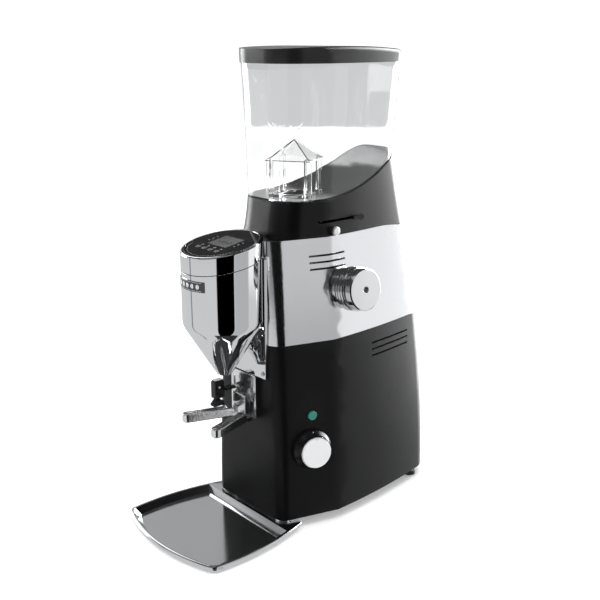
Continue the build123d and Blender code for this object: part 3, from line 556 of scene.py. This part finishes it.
def display_picture():
    """Dark bars and boxes that the display shows, with no words."""
    where = seat_on("lcd_screen", panel_up())

    def fill(form):
        border = [(-17, -11, 17, -11), (-17, 11, 17, 11), (-17, -11, -17, 11), (17, -11, 17, 11)]
        printed_lines(form, where, border, 0.3)
        for i in range(3):
            left, right, top = -14 + 10 * i, -7 + 10 * i, -1 + 2 * i
            slab(form, where, [(left, -7), (right, -7), (right, top), (left, top)], 0.04, INK_LIFT)
        printed_lines(form, where, cup_lines(11.5, 6.5, 0.9), 0.4)

    add_piece("display_picture", fill, DISPLAY_INK, "casing", smooth=False)


def badge_motif():
    """Raised coffee beans in a thin frame on the curved badge."""
    low_corner, high_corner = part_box("badge")
    head_low, head_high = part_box("funnel")
    x_axis = (low_corner.x + high_corner.x) / 2
    radius = (head_high.x - head_low.x) / 2 + 0.82 * MM
    y_axis = low_corner.y + radius
    middle = (low_corner.z + high_corner.z) / 2

    def bent(x, y, lift):
        turn = x * MM / radius - pi / 2
        reach = radius + lift
        return Vector((x_axis + reach * cos(turn), y_axis + reach * sin(turn), middle + y * MM))

    def patch(form, outline):
        inner = [form.verts.new(bent(x, y, -0.1 * MM)) for x, y in outline]
        outer = [form.verts.new(bent(x, y, 0.12 * MM)) for x, y in outline]
        close_between(form, inner, outer)

    def fill(form):
        for i in range(5):
            x = -18 + 9 * i
            for half in (-1, 1):
                bean = [(x + half * (0.35 + 2.0 * sin(radians(a))), 3.1 * cos(radians(a)))
                        for a in range(0, 181, 15)]
                patch(form, bean)
        for y in (-5.4, 5.4):
            for i in range(12):
                patch(form, strip(-24 + 4 * i, y, -20 + 4 * i, y, 0.35))

    add_piece("badge_motif", fill, PRINT_WHITE, "casing", smooth=False)


def switch_marks():
    """Pale dot on the switch's skirt and a fine turned ring round its cap."""
    axis = Vector(JOINTS["power_turn"]["axis"])
    where = seat_on("switch_cap", axis)
    back = extent_along("switch_cap", axis)[1] - extent_along("switch_knob", axis)[1]

    def dot(form):
        skirt = Matrix.Translation((0, 24.9 * MM, -12.6 * MM)) @ Matrix.Rotation(radians(-30), 4, "X")
        lathe(form, where @ skirt, [(0.05, 0), (1.3, 0), (1.3, 0.5), (0.9, 0.8), (0.05, 0.8)], 20)

    def ring(form):
        level = -back / MM
        lathe(form, where, [(20.75, level), (21.6, level), (21.5, level + 0.25), (20.9, level + 0.25)], 72)

    add_piece("switch_dot", dot, PRINT_WHITE, "power_knob")
    add_piece("switch_ring", ring, KNOB_CHROME, "power_knob")


def lamp_bezel():
    """Thin black ring that holds the lamp's lens."""
    axis = Vector(JOINTS["power_turn"]["axis"])
    where = seat_on("pilot_light", axis) @ Matrix.Translation((0, 0, -2.4 * MM))

    def fill(form):
        lathe(form, where, [(6.45, -0.1), (7.9, -0.1), (7.8, 0.7), (7.2, 1.1), (6.45, 1.1)])

    add_piece("lamp_bezel", fill, FINISHES["switch_black"], "casing")


def start_switch_trim():
    """Pale cap plate on the start switch and the bright end of its pin."""
    low_corner, high_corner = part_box("start_switch")
    x0, x1 = low_corner.x / MM + 0.8, low_corner.x / MM + 9.2
    y0, y1 = low_corner.y / MM + 1.2, low_corner.y / MM + 14.3
    top = Matrix.Translation((0, 0, high_corner.z))
    pin = Vector(JOINTS["start_press"]["pos_m"])
    high_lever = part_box("start_lever")[1]
    side = Matrix.Translation((high_lever.x, pin.y, pin.z)) @ ALONG_X

    def cap(form):
        slab(form, top, [(x0, y0), (x1, y0), (x1, y1), (x0, y1)], 0.15, 0.0)

    def pin_end(form):
        lathe(form, side, [(0.05, 0.0), (1.5, 0.0), (1.5, 0.25), (1.1, 0.5), (0.05, 0.5)], 24)

    add_piece("start_switch_cap", cap, PALE_GREY, "fork", smooth=False)
    add_piece("start_pin_end", pin_end, PALE_GREY, "start_lever")


def knob_trim():
    """Dark seal round the grind knob's flange, and the dark sleeve behind the lock knob's head."""
    flange = seat_on("knob_flange", Vector(JOINTS["grind_adjust"]["axis"]))
    low_corner, high_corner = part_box("lock_knob")
    centre = (low_corner + high_corner) / 2
    head = Matrix.Translation((high_corner.x - 4.4 * MM, centre.y, centre.z)) @ ALONG_X

    def seal(form):
        lathe(form, flange, [(24.5, 0.05), (26.2, 0.05), (26.2, 0.35), (24.5, 0.35)], 72)

    def collar(form):
        lathe(form, head, [(4.05, -4.2), (6.2, -4.2), (6.2, 0.0), (4.05, 0.0)], 40)

    add_piece("knob_seal", seal, SEAL_BLACK, "casing")
    add_piece("lock_collar", collar, FINISHES["switch_black"], "lock_knob")


# ---- studio ----
CAMERA_PLACE = (0.9594, -0.80245, 0.6496)
CAMERA_TURN = radians(49.55)
CAMERA_DROP = radians(15.57)
FOCAL_LENGTH = 56.4
SENSOR_WIDTH = 36.0

# What mirrors see of the studio, in degrees: turn is measured about z from the machine's right, and rise
# from level. Each row is turn from and to, rise from and to, how softly it fades in turn and in rise, and
# how much light it adds or what share it takes away. They work in this order, so a dark row also dims
# what the rows before it added.
ADDS, TAKES = "adds light", "takes light away"
SURROUNDINGS = [
    # high strip in front, soft panel behind to the right, and a dimmer table at the right
    (ADDS, -120, -20, 50, 63, 10, 5, 0.4),
    (ADDS, 46, 92, -14, 14, 8, 5, 0.34),
    (TAKES, 1, 40, -90, -8, 3, 6, 0.25),
    # bright lamp at the left, and a dimmer stretch in front
    (ADDS, -174, -154, -4, 16, 8, 5, 10.0),
    (TAKES, -104, -50, -5, 18, 4, 3, 0.6),
    # bright window straight behind, and a small one high at the left
    (ADDS, 80, 104, -12, 34, 8, 10, 15.0),
    (ADDS, 158, 180, 26, 50, 4, 6, 2.6),
    # black card in front to the right, dark floor below it, and a thin dark edge in front to the left
    (TAKES, -50, -4, -64, 18, 2.5, 4, 1.0),
    (TAKES, -76, 36, -90, -64, 6, 3, 0.94),
    (TAKES, -135, -131.5, -60, 18, 1.2, 4, 0.6),
]


def camera():
    lens = bpy.data.cameras.new("camera")
    lens.lens = FOCAL_LENGTH
    lens.sensor_width = SENSOR_WIDTH
    lens.clip_start = 0.01
    item = bpy.data.objects.new("camera", lens)
    bpy.context.scene.collection.objects.link(item)
    level = cos(CAMERA_DROP)
    look = Vector((-sin(CAMERA_TURN) * level, cos(CAMERA_TURN) * level, -sin(CAMERA_DROP)))
    item.location = CAMERA_PLACE
    item.rotation_mode = "QUATERNION"
    item.rotation_quaternion = look.to_track_quat("-Z", "Y")
    bpy.context.scene.camera = item


def softbox(name, position, target, size, power, glossy):
    """Rectangular lamp that the camera doesn't see; glossy says whether mirrors see it."""
    lamp = bpy.data.lights.new(name, "AREA")
    lamp.shape = "RECTANGLE"
    lamp.size, lamp.size_y = size
    lamp.energy = power
    item = bpy.data.objects.new(name, lamp)
    bpy.context.scene.collection.objects.link(item)
    item.location = position
    item.rotation_mode = "QUATERNION"
    item.rotation_quaternion = (Vector(target) - Vector(position)).to_track_quat("-Z", "Y")
    item.visible_glossy = glossy
    item.visible_camera = False
    return item


def room():
    """White surroundings; mirrors see soft panels and dark gaps instead of an even white."""
    world = bpy.data.worlds.new("studio")
    bpy.context.scene.world = world
    world.use_nodes = True
    tree = world.node_tree
    tree.nodes.clear()
    out = tree.nodes.new("ShaderNodeOutputWorld")
    way = tree.nodes.new("ShaderNodeTexCoord").outputs["Generated"]
    parts = tree.nodes.new("ShaderNodeSeparateXYZ")
    tree.links.new(way, parts.inputs[0])
    degree = 180 / pi
    turn = maths(tree, "MULTIPLY", maths(tree, "ARCTAN2", parts.outputs["Y"], parts.outputs["X"]), degree)
    rise = maths(tree, "MULTIPLY", maths(tree, "ARCSINE", parts.outputs["Z"]), degree)

    def window(value, low, high, soft):
        """1 between low and high, fading over soft degrees outside them."""
        up = spread(tree, value, low - soft, low, 0.0, 1.0, smooth=True)
        down = spread(tree, value, high, high + soft, 1.0, 0.0, smooth=True)
        return maths(tree, "MULTIPLY", up, down)

    def darken(total, shade):
        return maths(tree, "MULTIPLY", total, maths(tree, "SUBTRACT", 1.0, shade, clamp=True))

    total = spread(tree, rise, -16.0, -3.0, 0.66, 0.62, smooth=True)
    total = darken(total, spread(tree, rise, 12.0, 22.0, 0.0, 0.93, smooth=True))
    for kind, turn_low, turn_high, rise_low, rise_high, soft_turn, soft_rise, level in SURROUNDINGS:
        shape = maths(tree, "MULTIPLY", window(turn, turn_low, turn_high, soft_turn),
                      window(rise, rise_low, rise_high, soft_rise))
        share = maths(tree, "MULTIPLY", shape, level)
        total = maths(tree, "ADD", total, share) if kind == ADDS else darken(total, share)
    rays = tree.nodes.new("ShaderNodeLightPath")
    plain = tree.nodes.new("ShaderNodeBackground")
    plain.inputs["Color"].default_value = (1, 1, 1, 1)
    plain.inputs["Strength"].default_value = 1.06
    studio = tree.nodes.new("ShaderNodeBackground")
    studio.inputs["Color"].default_value = (0.985, 0.99, 1, 1)
    tree.links.new(total, studio.inputs["Strength"])
    mixed = tree.nodes.new("ShaderNodeMixShader")
    tree.links.new(rays.outputs["Is Glossy Ray"], mixed.inputs[0])
    tree.links.new(plain.outputs[0], mixed.inputs[1])
    tree.links.new(studio.outputs[0], mixed.inputs[2])
    tree.links.new(mixed.outputs[0], out.inputs["Surface"])


def table_top():
    """Plain pale floor."""
    mesh = bpy.data.meshes.new("table_top")
    form = bmesh.new()
    bmesh.ops.create_circle(form, cap_ends=True, segments=96, radius=6.0)
    form.to_mesh(mesh)
    form.free()
    floor = bpy.data.objects.new("table_top", mesh)
    bpy.context.scene.collection.objects.link(floor)
    floor.location.z = -0.0002
    floor.visible_glossy = False
    paint, tree, shader, where = finish_of("pale table", (0.93, 0.93, 0.93), 0, 0.9, 0, 0)
    shader.inputs["Specular IOR Level"].default_value = 0.0
    shader.inputs["Emission Color"].default_value = (1, 1, 1, 1)
    shader.inputs["Emission Strength"].default_value = 0.12
    mesh.materials.append(paint)


bpy.context.scene.view_settings.view_transform = "Standard"
dress_frame()
panel_print()
display_picture()
badge_motif()
switch_marks()
lamp_bezel()
start_switch_trim()
knob_trim()
room()
table_top()
camera()
softbox("overhead", (0.1, -0.2, 2.4), (0, 0, 0.2), (2.0, 2.0), 40, glossy=False)
softbox("front left", (-1.3, -1.6, 1.4), (0, 0, 0.3), (1.2, 1.6), 16, glossy=False)
card = softbox("tray card", (-0.83, 0.40, 0.57), (0, -0.15, 0.1), (0.9, 0.36), 0.38, glossy=True)
card.visible_diffuse = False
card.visible_transmission = False
